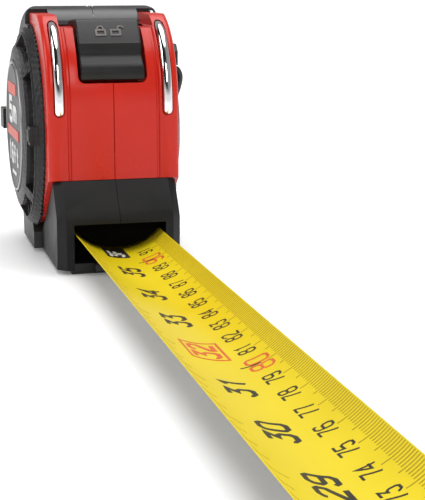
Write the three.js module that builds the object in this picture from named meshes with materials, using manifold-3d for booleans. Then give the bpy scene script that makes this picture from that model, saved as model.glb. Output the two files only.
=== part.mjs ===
// A pocket tape measure with its blade drawn out of the mouth.
// Millimetres. +X right and -Y forward as the blade leaves, +Z up.
// The origin is on the sole, below the reel axis.
import * as THREE from 'three';
import { mergeVertices } from 'three/addons/utils/BufferGeometryUtils.js';
import Module from 'manifold-3d';

const wasm = await Module();
wasm.setup();

// Case
const REEL_Z = 36.5; // height of the reel axis
const SEAM = 0.15; // half the gap between a left and a right half
const GAP = 0.15; // gap between pieces that touch
const SHELL_HALF = 18.2; // half width over the red shells
const SHELL_R = 32.2; // shells under the rubber, about the reel axis
const SHELL_BASE = 3.4; // underside of the shells
const CASE_R = 34.5; // back of the rubber, about the reel axis
const CASE_BASE = 1.2; // underside of nose and rubber; the sole stands lower
const FRONT_Y = -34.9; // flat front of the shells
const BROW_Y = -9; // centre of the curve from the front over to the top
const BROW_Z = 45;
const BROW_R = 25.9;
const TOP_Z = 69; // top of the shells, in front of the rubber
const RUBBER_FRONT_Y = -5.2; // front edge of the rubber on the top
const EAR_IN = 13.2; // the shells' top corners reach back past the front edge of the rubber
const EAR_BACK_Y = 0;
const CAVITY_R = 28.4; // room for the reel
const CAVITY_HALF = 15.6;
const CHANNEL_TOP = 14.5; // room for the blade below the reel
const CHANNEL_HALF = 14.2;

// Side discs
const SIDE_R = 29.3; // the rubber's round side plate
const LEFT_X = 23.2; // crown of the left side plate
const RIGHT_X = 21.3; // crown of the right one, lower because the belt clip lies over it
const SIDE_RIM_X = 18.6; // both fall away to their rims
const SEAT_R = 20.1; // recess for the label and its ring
const SEAT_X = 20.3; // floor of the recess
const LABEL_R = 18.7;
const RING_IN = 18.85;
const RING_OUT = 19.95;
const LEFT_FACE_X = 23.4; // label faces
const RIGHT_FACE_X = 21.4;

// Belt clip on the right side
const CLIP_FRONT_Y = -7.4; // the wire's two legs
const CLIP_REAR_Y = 14.2;
const CLIP_MARGIN = 2.8; // the clip plate past the legs
const CLIP_TOP_Z = 60;

// Nose, mouth and sole
const NOSE_HALF = 17;
const MOUTH_HALF = 12.6;
const MOUTH_TOP = 13.9;
const MOUTH_Y = -42.3; // front of the lip
const ARCH_Y = -39.4; // front of the arch over the blade
const ARCH_GAP = 1.2; // clears the rivet heads
const NOSE_BACK_Y = -33.75; // where the shells' front wall starts, behind the nose
const SOLE_HALF = 13.3;
const SOLE_TOP = 3.1;

// Blade: a steel strip that is flat on the reel and curved across outside it
const BLADE_T = 0.2;
const BLADE_R = 16.16; // inside radius of the curved section
const BLADE_ANGLE = 47.65; // half angle of the curved section
const BLADE_BOTTOM = 5.85; // top face of the blade at its middle
const BLADE_AXIS_Z = BLADE_BOTTOM + BLADE_R;
const COIL_IN = 19;
const COIL_OUT = 24.2;
const COIL_HALF = 13.5;
const RUN_START_Y = -25.3;
const TIP_START_Y = -258;
const TIP_END_Y = -271.2;
const HOOK_Y = -272;

// ---------------------------------------------------------------- solids and outlines

// A geometry of one closed body as a manifold solid.
function solid(geometry) {
  const bare = new THREE.BufferGeometry();
  bare.setAttribute('position', geometry.getAttribute('position').clone());
  if (geometry.index) bare.setIndex(geometry.index.clone());
  const merged = mergeVertices(bare, 1e-4);
  const vertProperties = new Float32Array(merged.getAttribute('position').array);
  const triVerts = new Uint32Array(merged.index.array);
  return new wasm.Manifold(new wasm.Mesh({ numProp: 3, vertProperties, triVerts }));
}

// A manifold solid as a geometry.
function geometryOf(manifold) {
  const mesh = manifold.getMesh();
  const geometry = new THREE.BufferGeometry();
  geometry.setAttribute('position', new THREE.BufferAttribute(new Float32Array(mesh.vertProperties), 3));
  geometry.setIndex(new THREE.BufferAttribute(new Uint32Array(mesh.triVerts), 1));
  const flat = geometry.toNonIndexed();
  flat.computeVertexNormals();
  return flat;
}

const toRadians = THREE.MathUtils.degToRad;

// Points of an arc about (u, v), from one angle to another in steps of about stepDeg.
function arc(u, v, radius, fromDeg, toDeg, stepDeg = 8) {
  const count = Math.max(2, Math.ceil(Math.abs(toDeg - fromDeg) / stepDeg));
  const points = [];
  for (let i = 0; i <= count; i += 1) {
    const angle = toRadians(fromDeg + ((toDeg - fromDeg) * i) / count);
    points.push([u + radius * Math.cos(angle), v + radius * Math.sin(angle)]);
  }
  return points;
}

function shapeOf(points) {
  return new THREE.Shape(points.map(([u, v]) => new THREE.Vector2(u, v)));
}

// Turns a geometry drawn in XY and extruded along Z so that it is drawn in YZ and extruded along X.
function sideways(geometry) {
  const x = new THREE.Vector3(0, 1, 0);
  const y = new THREE.Vector3(0, 0, 1);
  const z = new THREE.Vector3(1, 0, 0);
  return geometry.applyMatrix4(new THREE.Matrix4().makeBasis(x, y, z));
}

// An outline in the side view (Y, Z) as a solid from x0 to x1, with an optional rounded edge at both ends.
function slab(points, x0, x1, round = 0, segments = 2) {
  const options = { depth: x1 - x0, bevelEnabled: false };
  if (round > 0) {
    options.depth = x1 - x0 - 2 * round;
    Object.assign(options, { bevelEnabled: true, bevelThickness: round, bevelSize: round });
    Object.assign(options, { bevelOffset: -round, bevelSegments: segments });
  }
  const geometry = new THREE.ExtrudeGeometry(shapeOf(points), options);
  geometry.translate(0, 0, x0 + round);
  return solid(sideways(geometry));
}

// An outline in the front view (X, Z) as a solid from y0 to y1.
function plank(points, y0, y1) {
  const geometry = new THREE.ExtrudeGeometry(shapeOf(points), { depth: y1 - y0, bevelEnabled: false });
  geometry.rotateX(Math.PI / 2);
  geometry.translate(0, y1, 0);
  return solid(geometry);
}

function block(x0, x1, y0, y1, z0, z1) {
  const geometry = new THREE.BoxGeometry(x1 - x0, y1 - y0, z1 - z0);
  geometry.translate((x0 + x1) / 2, (y0 + y1) / 2, (z0 + z1) / 2);
  return solid(geometry);
}

// A disc or rod along X about (y, z).
function rod(radius, y, z, x0, x1, sides = 32) {
  const geometry = new THREE.CylinderGeometry(radius, radius, x1 - x0, sides);
  geometry.rotateZ(-Math.PI / 2);
  geometry.translate((x0 + x1) / 2, y, z);
  return solid(geometry);
}

// A turned piece on the reel axis. The profile is a list of [radius, x], closed or ending on the axis.
function turned(profile, sides = 40) {
  const geometry = new THREE.LatheGeometry(profile.map(([r, x]) => new THREE.Vector2(r, x)), sides);
  geometry.rotateZ(-Math.PI / 2);
  geometry.translate(0, 0, REEL_Z);
  return solid(geometry);
}

// The same piece on the other side of the centre plane.
function mirrored(manifold) {
  return manifold.mirror([1, 0, 0]);
}

function halfOf(manifold, side) {
  const reach = 80;
  const half = side < 0 ? block(-reach, -SEAM, -reach * 4, reach, -reach, reach * 2)
    : block(SEAM, reach, -reach * 4, reach, -reach, reach * 2);
  return manifold.intersect(half);
}

const group = new THREE.Group();

function addMesh(parent, name, manifold, color, roughness, metalness = 0) {
  const material = new THREE.MeshStandardMaterial({ color, roughness, metalness });
  const mesh = new THREE.Mesh(geometryOf(manifold), material);
  mesh.name = name;
  parent.add(mesh);
  return mesh;
}

const RED = 0xc42b22;
const BLACK = 0x202020;
const RUBBER = 0x2a2a2a;
const CHROME = 0xd8d8da;
const STEEL = 0x9a9c9e;
const YELLOW = 0xf2cf1d;

// ---------------------------------------------------------------- case outlines (side view)

// The red shells; clear grows the outline, for the pieces that lie round it.
function shellOutline(clear = 0) {
  const step = REEL_Z + Math.sqrt((SHELL_R + clear) ** 2 - (RUBBER_FRONT_Y + clear) ** 2);
  const stepAngle = THREE.MathUtils.radToDeg(Math.atan2(step - REEL_Z, RUBBER_FRONT_Y + clear));
  return [
    [-33.6 - clear, SHELL_BASE - clear],
    [-33.6 - clear, 22],
    [FRONT_Y - clear, 24.95 - clear],
    ...arc(BROW_Y, BROW_Z, BROW_R + clear, 180, 112),
    [RUBBER_FRONT_Y + clear, TOP_Z + clear],
    ...arc(0, REEL_Z, SHELL_R + clear, stepAngle, -48),
    [16 + clear, SHELL_BASE - clear],
  ];
}

// The nose block, from its lip back to the end of its flank.
function noseOutline(clear = 0) {
  return [
    [-41 - clear, CASE_BASE - clear],
    [-41.9 - clear, 4],
    [MOUTH_Y - clear, 15.3],
    [-41.2 - clear, 17.4 + clear],
    [FRONT_Y, 24.8 + clear],
    [-33.4, 24.4 + clear],
    [-20, 14.6 + clear],
    [-8 + clear, 6 + clear],
    [-8 + clear, CASE_BASE - clear],
  ];
}

// The rubber over the top, the back and the underside.
function bandOutline() {
  return [
    [RUBBER_FRONT_Y, 66.8],
    [-3.2, 68.7],
    [3, 70.8],
    ...arc(0, REEL_Z, CASE_R, 83, -50),
    [17.5, CASE_BASE],
    [-7.7, CASE_BASE],
    [-7.7, 6.1],
    [RUBBER_FRONT_Y, 8],
  ];
}

function circleOutline(radius, sides = 48) {
  return arc(0, REEL_Z, radius, 0, 360 - 360 / sides, 360 / sides);
}

function soleBlock(clear = 0) {
  return block(-SOLE_HALF - clear, SOLE_HALF + clear, -40.6 - clear, 16 + clear, -1, SOLE_TOP + clear);
}

// ---------------------------------------------------------------- red shells

const BAR_X = 14.9;
const BAR_R = 1.3;
const BAR_BOTTOM_Z = 43.6;

// The middle line of a frame bar: up the front, round the brow, then into the shell.
function barPath(x) {
  const points = [new THREE.Vector3(x, FRONT_Y - 0.15, BAR_BOTTOM_Z)];
  for (const angle of [180, 170, 160, 150, 140, 131]) {
    const a = toRadians(angle);
    points.push(new THREE.Vector3(x, BROW_Y + 26.05 * Math.cos(a), BROW_Z + 26.05 * Math.sin(a)));
  }
  points.push(new THREE.Vector3(x, -23, 65.6));
  points.push(new THREE.Vector3(x, -20.2, 66.0));
  return new THREE.CatmullRomCurve3(points);
}

function barSolid(x, radius) {
  const section = shapeOf(arc(0, 0, radius, 0, 315, 45));
  const options = { steps: 16, bevelEnabled: false, extrudePath: barPath(x) };
  const end = new THREE.SphereGeometry(radius * 0.9, 8, 6);
  end.translate(x, FRONT_Y - 0.15, BAR_BOTTOM_Z + 0.2);
  return solid(new THREE.ExtrudeGeometry(section, options)).add(solid(end));
}

const POCKET_HALF = 9.5;

// The room behind the thumb lock, open at the front and the top.
function leverPocket() {
  const floor = [[-40, 51.2], [-27.2, 51.2], [-20.5, 60.5], [-10, 65.7], [-4, 66]];
  const narrow = slab([...floor, [-4, 76], [-40, 76]], -POCKET_HALF, POCKET_HALF);
  return narrow.add(block(-EAR_IN, EAR_IN, -24, -4, 66.4, 76));
}

// A top corner of the shells, on both sides; clear grows it and lets it cut the rubber outside it.
function ears(clear = 0) {
  const outX = clear > 0 ? 30 : SHELL_HALF - 0.4;
  const ear = block(EAR_IN - clear, outX, -12, EAR_BACK_Y + clear, 65.9, TOP_Z + clear);
  return ear.add(mirrored(ear));
}

// The slot behind the front wall in which the brake arm runs.
function brakeSlot() {
  return block(-5.3, 5.3, -33, -29.7, 8, 52);
}

const SCREW_SPOTS = [[-2.4, 67.35], [20.6, 59.4], [22.6, 15.6], [-24.9, 18.6]];
const SCREW_HEAD_R = 2.3;
const SCREW_SHANK_R = 1.1;
const SCREW_HEAD_X = 16.6;
const SCREW_END_X = -4;

function screwHoles(clear) {
  const holes = SCREW_SPOTS.map(([y, z]) => rod(SCREW_SHANK_R + clear, y, z, SCREW_END_X - 1, 24, 8)
    .add(rod(SCREW_HEAD_R + clear, y, z, SCREW_HEAD_X - clear, 24, 16)));
  return wasm.Manifold.union(holes);
}

function shells() {
  let body = slab(shellOutline(), -SHELL_HALF, SHELL_HALF, 2.2).add(ears());
  body = body.subtract(rod(CAVITY_R, 0, REEL_Z, -CAVITY_HALF, CAVITY_HALF, 48));
  body = body.subtract(block(-CHANNEL_HALF, CHANNEL_HALF, -36, 12, 0, CHANNEL_TOP));
  const noseCore = block(-NOSE_HALF + 1.6 + GAP, NOSE_HALF - 1.6 - GAP, NOSE_BACK_Y + GAP, 30, -5, 60);
  body = body.subtract(slab(noseOutline(GAP), -30, 30).subtract(noseCore));
  body = body.subtract(leverPocket()).subtract(brakeSlot()).subtract(soleBlock(GAP));
  body = body.subtract(barSolid(-BAR_X, BAR_R + 0.2)).subtract(barSolid(BAR_X, BAR_R + 0.2));
  body = body.subtract(screwHoles(0.15)).subtract(rod(3.2, 0, REEL_Z, -17.2, 17.2, 24));
  addMesh(group, 'left_shell', halfOf(body, -1), RED, 0.3);
  addMesh(group, 'right_shell', halfOf(body, 1), RED, 0.3);
}

// ---------------------------------------------------------------- rubber overmould

// One of the eight windows in the side plate.
function sideSlot(midDeg) {
  const inner = arc(0, REEL_Z, 21.7, midDeg - 13, midDeg + 13, 7);
  const outer = arc(0, REEL_Z, 25.7, midDeg + 12, midDeg - 12, 6);
  return slab([...inner, ...outer], SHELL_HALF - 1, 30);
}

// A side plate of a given crown height, drawn on the +X side.
function sidePlate(crownX) {
  const inX = SHELL_HALF - 2;
  const fall = crownX - SIDE_RIM_X;
  let plate = turned([
    [0, inX], [SIDE_R, inX], [SIDE_R, SIDE_RIM_X], [27, SIDE_RIM_X + fall * 0.45],
    [24, crownX - fall * 0.2], [21.4, crownX], [0, crownX],
  ], 48);
  plate = plate.add(block(inX, crownX - 0.9, -28.2, -20.5, REEL_Z - 2.5, REEL_Z + 2.5));
  plate = plate.add(block(inX, crownX + 1.2, 20.5, 28.4, REEL_Z - 3, REEL_Z + 3));
  plate = plate.subtract(rod(SEAT_R, 0, REEL_Z, SEAT_X, 30, 48));
  for (let mid = 22.5; mid < 360; mid += 45) plate = plate.subtract(sideSlot(mid));
  return plate;
}

function overmould() {
  let band = slab(bandOutline(), -19.4, 19.4, 2.4);
  const labelSeat = rod(SEAT_R, 0, REEL_Z, SEAT_X, 30, 48);
  const seatBlock = block(
    SHELL_HALF - 2, RIGHT_X, CLIP_FRONT_Y - CLIP_MARGIN, CLIP_REAR_Y + CLIP_MARGIN, 52, CLIP_TOP_Z,
  );
  band = band.add(mirrored(sidePlate(LEFT_X))).add(sidePlate(RIGHT_X)).add(seatBlock.subtract(labelSeat));
  const shellRoom = slab(shellOutline(GAP), -SHELL_HALF - GAP, SHELL_HALF + GAP);
  band = band.subtract(shellRoom).subtract(ears(GAP));
  band = band.subtract(slab(noseOutline(GAP), -NOSE_HALF - 1, NOSE_HALF + 1));
  band = band.subtract(soleBlock(GAP)).subtract(screwHoles(0.4));
  addMesh(group, 'left_overmould', halfOf(band, -1), RUBBER, 0.7);
  addMesh(group, 'right_overmould', halfOf(band, 1), RUBBER, 0.7);
}

// ---------------------------------------------------------------- nose, sole and mouth

// The room below the arch that guides the blade from above, behind the open mouth.
function archRoom() {
  const radius = BLADE_R - ARCH_GAP;
  const edge = THREE.MathUtils.radToDeg(Math.asin(MOUTH_HALF / radius));
  const arch = arc(0, BLADE_AXIS_Z, radius, -90 - edge, -90 + edge, 7);
  return plank([[-MOUTH_HALF, -5], [MOUTH_HALF, -5], ...arch.reverse()], ARCH_Y - 0.1, 0);
}

function nose() {
  let body = slab(noseOutline(), -NOSE_HALF, NOSE_HALF, 1.4);
  body = body.subtract(block(-NOSE_HALF + 1.6, NOSE_HALF - 1.6, NOSE_BACK_Y, 20, -5, 60));
  body = body.subtract(block(-MOUTH_HALF, MOUTH_HALF, -60, ARCH_Y, -5, MOUTH_TOP)).subtract(archRoom());
  body = body.subtract(soleBlock(GAP)).subtract(brakeSlot()).subtract(screwHoles(0.3));
  addMesh(group, 'nose_left', halfOf(body, -1), BLACK, 0.6);
  addMesh(group, 'nose_right', halfOf(body, 1), BLACK, 0.6);
}

function sole() {
  const outline = [[-40.6, 0.6], [-40, 0], [15.4, 0], [16, 0.6], [16, SOLE_TOP], [-40.6, SOLE_TOP]];
  addMesh(group, 'sole', slab(outline, -SOLE_HALF, SOLE_HALF), BLACK, 0.6);
}

// A curved saddle under the blade, wide enough for the whole strip.
function mouthGuide() {
  const half = 12.4;
  const radius = 18.2;
  const edge = THREE.MathUtils.radToDeg(Math.asin(half / radius));
  const outline = [[half, SOLE_TOP + GAP], ...arc(0, BLADE_AXIS_Z, radius, -90 + edge, -90 - edge, 7)];
  outline.push([-half, SOLE_TOP + GAP]);
  addMesh(group, 'mouth_guide', plank(outline.reverse(), -37, -27), BLACK, 0.4);
}

function bladeBumper() {
  const outline = [[-42.4, 0.9], [-40.75, 0.9], [-40.75, 3.1], [-42.1, 3.1]];
  addMesh(group, 'blade_bumper', slab(outline, -7, 7), RUBBER, 0.8);
}

// ---------------------------------------------------------------- bars, screws, side discs

function bars() {
  addMesh(group, 'left_bar', barSolid(-BAR_X, BAR_R), CHROME, 0.12, 1);
  addMesh(group, 'right_bar', barSolid(BAR_X, BAR_R), CHROME, 0.12, 1);
}

function caseScrews() {
  SCREW_SPOTS.forEach(([y, z], i) => {
    const shank = rod(SCREW_SHANK_R, y, z, SCREW_END_X, SCREW_HEAD_X + 0.2, 8);
    const head = rod(SCREW_HEAD_R, y, z, SCREW_HEAD_X, SCREW_HEAD_X + 1.3, 16);
    addMesh(group, `case_screw_${i + 1}`, shank.add(head), STEEL, 0.3, 1);
  });
}

function labelDisc(faceX) {
  const inX = SEAT_X + GAP;
  return turned([[0, inX], [LABEL_R, inX], [LABEL_R, faceX], [0, faceX]], 48);
}

function labelRing(faceX) {
  const inX = SEAT_X + GAP;
  const crownR = (RING_IN + RING_OUT) / 2;
  const shoulderX = faceX - 0.2;
  return turned([
    [RING_IN, inX], [RING_OUT, inX], [RING_OUT, shoulderX], [crownR, faceX + 0.2], [RING_IN, shoulderX],
    [RING_IN, inX],
  ], 48);
}

function labels() {
  addMesh(group, 'right_label', labelDisc(RIGHT_FACE_X), BLACK, 0.35);
  addMesh(group, 'right_ring', labelRing(RIGHT_FACE_X), CHROME, 0.3, 1);
  addMesh(group, 'left_label', mirrored(labelDisc(LEFT_FACE_X)), BLACK, 0.35);
  addMesh(group, 'left_ring', mirrored(labelRing(LEFT_FACE_X)), CHROME, 0.3, 1);
}

// ---------------------------------------------------------------- reel

const DRUM_OUT = 18.8;
const POST_R = 3;

function reel() {
  const drum = turned([
    [3.4, -13.6], [5, -13.6], [5, 11.6], [17, 11.6], [17, -13.6], [DRUM_OUT, -13.6], [DRUM_OUT, 13.6],
    [3.4, 13.6], [3.4, -13.6],
  ]);
  addMesh(group, 'reel_drum', drum, BLACK, 0.5);
  const flange = turned([[5.2, 13.8], [26.6, 13.8], [26.6, 14.5], [5.2, 14.5], [5.2, 13.8]]);
  addMesh(group, 'reel_flange_right', flange, STEEL, 0.4);
  addMesh(group, 'reel_flange_left', mirrored(flange), STEEL, 0.4);
  const coil = turned([
    [COIL_IN, -COIL_HALF], [COIL_OUT, -COIL_HALF], [COIL_OUT, COIL_HALF], [COIL_IN, COIL_HALF],
    [COIL_IN, -COIL_HALF],
  ], 48);
  addMesh(group, 'blade_coil', coil, YELLOW, 0.4);
}

// The fixed post, slit for the inner end of the spring.
function centrePost() {
  const post = rod(POST_R, 0, REEL_Z, -17, 17, 24);
  const slit = block(-11, 11, -0.4, 0.4, REEL_Z - 5, REEL_Z - 0.5);
  addMesh(group, 'centre_post', post.subtract(slit), STEEL, 0.4, 1);
}

// A flat spiral from the hub out to the drum's wall.
function returnSpring() {
  const turns = 4.5;
  const innerR = 6.2;
  const outerR = 16.2;
  const stepsPerTurn = 14;
  const count = Math.round(turns * stepsPerTurn);
  const inside = [];
  const outside = [];
  for (let i = 0; i <= count; i += 1) {
    const angle = (2 * Math.PI * i) / stepsPerTurn;
    const r = innerR + ((outerR - innerR) * i) / count;
    inside.push([r * Math.cos(angle), REEL_Z + r * Math.sin(angle)]);
    outside.push([(r + 0.35) * Math.cos(angle), REEL_Z + (r + 0.35) * Math.sin(angle)]);
  }
  addMesh(group, 'return_spring', slab([...inside.reverse(), ...outside], -9.5, 10.5), STEEL, 0.3, 1);
}

// ---------------------------------------------------------------- blade and hook

// The curved cross section of the blade, in the front view.
function bladeSection(inside, outside, halfAngle, stepDeg = 8) {
  const top = arc(0, BLADE_AXIS_Z, inside, -90 - halfAngle, -90 + halfAngle, stepDeg);
  const bottom = arc(0, BLADE_AXIS_Z, outside, -90 + halfAngle, -90 - halfAngle, stepDeg);
  return [...bottom, ...top].reverse();
}

function bladeRun() {
  const section = bladeSection(BLADE_R, BLADE_R + BLADE_T, BLADE_ANGLE);
  addMesh(group, 'blade_run', plank(section, TIP_START_Y + 0.3, RUN_START_Y), YELLOW, 0.35);
}

// The stretch in the case, flat under the coil and fully curved where it meets the drawn length.
function bladeInner() {
  const section = bladeSection(BLADE_R, BLADE_R + BLADE_T, BLADE_ANGLE);
  const startY = -1.5;
  const endY = RUN_START_Y + 0.3;
  const flatZ = REEL_Z - COIL_OUT - 0.6;
  const options = { depth: startY - endY, steps: 6, bevelEnabled: false };
  const geometry = new THREE.ExtrudeGeometry(shapeOf(section), options);
  geometry.rotateX(Math.PI / 2);
  geometry.translate(0, startY, 0);
  const position = geometry.getAttribute('position');
  for (let i = 0; i < position.count; i += 1) {
    const share = (startY - position.getY(i)) / (startY - endY);
    const blend = share * share * (3 - 2 * share);
    const across = Math.atan2(position.getX(i), BLADE_AXIS_Z - position.getZ(i));
    const depth = Math.hypot(position.getX(i), BLADE_AXIS_Z - position.getZ(i)) - BLADE_R;
    position.setX(i, position.getX(i) * blend + across * BLADE_R * (1 - blend));
    position.setZ(i, position.getZ(i) * blend + (flatZ - depth) * (1 - blend));
  }
  addMesh(group, 'blade_inner', solid(geometry), YELLOW, 0.35);
}

const RIVET_R = 0.95;
const RIVET_SPOTS = [['rivet_left', -22, -264.4], ['rivet_middle', 0, -268.6], ['rivet_right', 22, -264.4]];
const TONGUE_IN = BLADE_R + BLADE_T + 0.12;
const TONGUE_OUT = TONGUE_IN + 0.8;
const HOOK_TRAVEL = 0.7;

// A piece drawn on Z, with Z = 0 on the inside face of the blade, turned round to its place on the blade.
function placedOnBlade(manifold, angleDeg, y) {
  const turn = new THREE.Matrix4().makeRotationY(toRadians(-angleDeg));
  const down = new THREE.Matrix4().makeTranslation(0, 0, -BLADE_R);
  const place = new THREE.Matrix4().makeTranslation(0, y, BLADE_AXIS_Z);
  return manifold.transform(place.multiply(turn).multiply(down).elements);
}

function uprightRod(radius, z0, z1, sides = 12) {
  const geometry = new THREE.CylinderGeometry(radius, radius, z1 - z0, sides);
  geometry.rotateX(Math.PI / 2);
  geometry.translate(0, 0, (z0 + z1) / 2);
  return solid(geometry);
}

// A rivet: a low head on the blade, the shank through blade and tongue, and a head below.
function rivetSolid() {
  const underZ = BLADE_R - TONGUE_OUT - 0.12;
  const head = uprightRod(2.1, 0.25, 0.7).add(uprightRod(1.5, 0.6, 0.95));
  return head.add(uprightRod(RIVET_R, underZ - 0.1, 0.3)).add(uprightRod(1.9, underZ - 0.6, underZ));
}

function bladeTip() {
  const section = bladeSection(BLADE_R, BLADE_R + BLADE_T, BLADE_ANGLE);
  let tip = plank(section, TIP_END_Y, TIP_START_Y);
  for (const side of [-1, 1]) {
    const corner = new THREE.Shape();
    corner.moveTo(side * 6, TIP_END_Y - 1);
    corner.lineTo(side * 14, TIP_END_Y - 1);
    corner.lineTo(side * 14, TIP_END_Y + 6);
    const cutter = new THREE.ExtrudeGeometry(corner, { depth: 30, bevelEnabled: false });
    tip = tip.subtract(solid(cutter));
  }
  for (const [, angle, y] of RIVET_SPOTS) {
    tip = tip.subtract(placedOnBlade(uprightRod(RIVET_R + 0.08, -3, 3), angle, y));
  }
  const tipGroup = new THREE.Group();
  group.add(tipGroup);
  addMesh(tipGroup, 'blade_tip', tip, YELLOW, 0.35);
  for (const [name, angle, y] of RIVET_SPOTS) {
    addMesh(tipGroup, name, placedOnBlade(rivetSolid(), angle, y), STEEL, 0.35, 1);
  }
}

// A slot for a rivet, longer along the blade by the hook's travel.
function rivetSlot(angle, y) {
  const room = RIVET_R + 0.12;
  const ends = [uprightRod(room, -4, 4), uprightRod(room, -4, 4).translate([0, -HOOK_TRAVEL, 0])];
  const between = block(-room, room, -HOOK_TRAVEL, 0, -4, 4);
  return placedOnBlade(ends[0].add(ends[1]).add(between), angle, y);
}

function endHook() {
  const lipOutline = [
    [-9, 0], [9, 0], [10.2, 1.2], [10.2, 9.2], [8.8, 12], [-8.8, 12], [-10.2, 9.2], [-10.2, 1.2],
  ];
  const lip = plank(lipOutline, HOOK_Y - 1.1, HOOK_Y);
  const tongue = plank(bladeSection(TONGUE_IN, TONGUE_OUT, 31), HOOK_Y - 0.2, -260);
  let hook = lip.add(tongue);
  for (const [, angle, y] of RIVET_SPOTS) hook = hook.subtract(rivetSlot(angle, y));
  addMesh(group, 'end_hook', hook, STEEL, 0.3, 1);
}

// ---------------------------------------------------------------- thumb lock and brake

function lockLever() {
  const outline = [
    [-33.9, 51.9], [-34.2, 53.2], [-33.9, 54.8], [-32.7, 56.4], [-31.1, 57.7], [-30.2, 59.0],
    [-30.0, 60.4], [-29.9, 61.6], [-29.2, 62.4], [-25.6, 67.1], [-24.6, 67.8], [-22.6, 68.0],
    [-13, 67.4], [-11.2, 66.6], [-11.6, 65.8], [-20.6, 65.2], [-21.5, 64.2], [-28.1, 52.2],
  ];
  addMesh(group, 'lock_lever', slab(outline.reverse(), -8.75, 8.75, 0.4, 1), BLACK, 0.5);
}

function leverSpring() {
  const outline = [[-27.6, 52.2], [-27.2, 52.2], [-24.8, 56], [-22.1, 60], [-22.6, 60], [-25.3, 56.1]];
  addMesh(group, 'lever_spring', slab(outline, -4, 4), STEEL, 0.3, 1);
}

function brake() {
  const arm = [[-32.5, 10], [-30.2, 10], [-30.2, 50.8], [-32.5, 50.8]];
  addMesh(group, 'brake_arm', slab(arm, -4.6, 4.6), BLACK, 0.5);
  const padR = BLADE_R - 0.25;
  const half = 4.9;
  const edge = THREE.MathUtils.radToDeg(Math.asin(half / padR));
  const outline = [[half, 9.7], [-half, 9.7], ...arc(0, BLADE_AXIS_Z, padR, -90 - edge, -90 + edge, 6)];
  addMesh(group, 'brake_pad', plank(outline, -32.6, -30), RUBBER, 0.9);
}

// ---------------------------------------------------------------- belt clip

const CLIP_R = 1;
const CLIP_SCREWS = [['clip_screw_front', -1.2], ['clip_screw_rear', 8]];
const CLIP_SCREW_Z = 57.8;
const CLIP_PLATE_X = 23.4;

function beltClip() {
  const leg = (y) => [
    [22.6, y, 53.2], [24.0, y, 52.4], [24.7, y, 50.3], [24.2, y, 47.6], [23.1, y, 44], [22.6, y, 38],
    [22.6, y, 28], [22.7, y, 22],
  ];
  const front = leg(CLIP_FRONT_Y);
  const rear = leg(CLIP_REAR_Y).reverse();
  const foot = [[23.2, -4.9, 17.4], [24.2, 0.4, 15.8], [24.2, 6.4, 15.8], [23.2, 11.7, 17.4]];
  const points = [...front, ...foot, ...rear].map(([x, y, z]) => new THREE.Vector3(x, y, z));
  const path = new THREE.CatmullRomCurve3(points);
  const section = shapeOf(arc(0, 0, CLIP_R, 0, 300, 60));
  const options = { steps: 48, bevelEnabled: false, extrudePath: path };
  addMesh(group, 'belt_clip', solid(new THREE.ExtrudeGeometry(section, options)), BLACK, 0.4, 0.6);
}

// The plate that holds the wire's two ends against the side.
function clipPlate() {
  const wireRoom = 1.6;
  const y0 = CLIP_FRONT_Y - CLIP_MARGIN;
  const y1 = CLIP_REAR_Y + CLIP_MARGIN;
  let plate = block(RIGHT_X + GAP, CLIP_PLATE_X, y0, y1, 51.4, CLIP_TOP_Z);
  for (const y of [CLIP_FRONT_Y, CLIP_REAR_Y]) {
    plate = plate.subtract(block(21, 25, y - wireRoom, y + wireRoom, 50, 54.4));
  }
  plate = plate.subtract(rod(RING_OUT + 0.3, 0, REEL_Z, 20, 30, 48));
  for (const [, y] of CLIP_SCREWS) plate = plate.subtract(rod(1.15, y, CLIP_SCREW_Z, 20, 30, 8));
  addMesh(group, 'clip_plate', plate, BLACK, 0.5);
  for (const [name, y] of CLIP_SCREWS) {
    const shank = rod(1, y, CLIP_SCREW_Z, RIGHT_X + GAP + 0.1, CLIP_PLATE_X + 0.2, 8);
    const head = rod(1.9, y, CLIP_SCREW_Z, CLIP_PLATE_X + 0.1, CLIP_PLATE_X + 0.9, 12);
    addMesh(group, name, shank.add(head), STEEL, 0.3, 1);
  }
}

shells();
overmould();
nose();
sole();
mouthGuide();
bladeBumper();
bars();
caseScrews();
labels();
reel();
centrePost();
returnSpring();
bladeInner();
bladeRun();
bladeTip();
endHook();
lockLever();
leverSpring();
brake();
beltClip();
clipPlate();

export default group;
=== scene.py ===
from math import cos, pi, radians, sin

import bmesh
import bpy
from mathutils import Matrix, Vector


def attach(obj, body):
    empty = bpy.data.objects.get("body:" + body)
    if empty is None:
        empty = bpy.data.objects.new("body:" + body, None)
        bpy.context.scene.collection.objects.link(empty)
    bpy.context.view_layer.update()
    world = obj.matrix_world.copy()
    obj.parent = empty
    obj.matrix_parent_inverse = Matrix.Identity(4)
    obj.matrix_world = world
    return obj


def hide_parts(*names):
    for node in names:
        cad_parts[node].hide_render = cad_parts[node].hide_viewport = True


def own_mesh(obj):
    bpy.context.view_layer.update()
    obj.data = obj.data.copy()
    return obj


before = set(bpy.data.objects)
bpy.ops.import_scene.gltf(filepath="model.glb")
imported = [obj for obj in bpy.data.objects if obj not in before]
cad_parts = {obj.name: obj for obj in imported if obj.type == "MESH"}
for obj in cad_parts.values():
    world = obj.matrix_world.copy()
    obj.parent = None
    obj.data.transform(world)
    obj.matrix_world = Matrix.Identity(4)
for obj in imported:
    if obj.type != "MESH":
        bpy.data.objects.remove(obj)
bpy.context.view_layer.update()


# ------------------------------------------------------------------ camera
# A long lens close to the floor, in front of the mouth and a little to its left. It looks down and to the
# right, so that the case stands high on the left and the blade runs out of the view on the right.
camera_data = bpy.data.cameras.new("camera")
camera_data.sensor_fit = "AUTO"
camera_data.sensor_width = 36
camera_data.lens = 98.9
camera_data.clip_start = 0.01
camera = bpy.data.objects.new("camera", camera_data)
camera_down, camera_right = 11.56, 14.26
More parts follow.
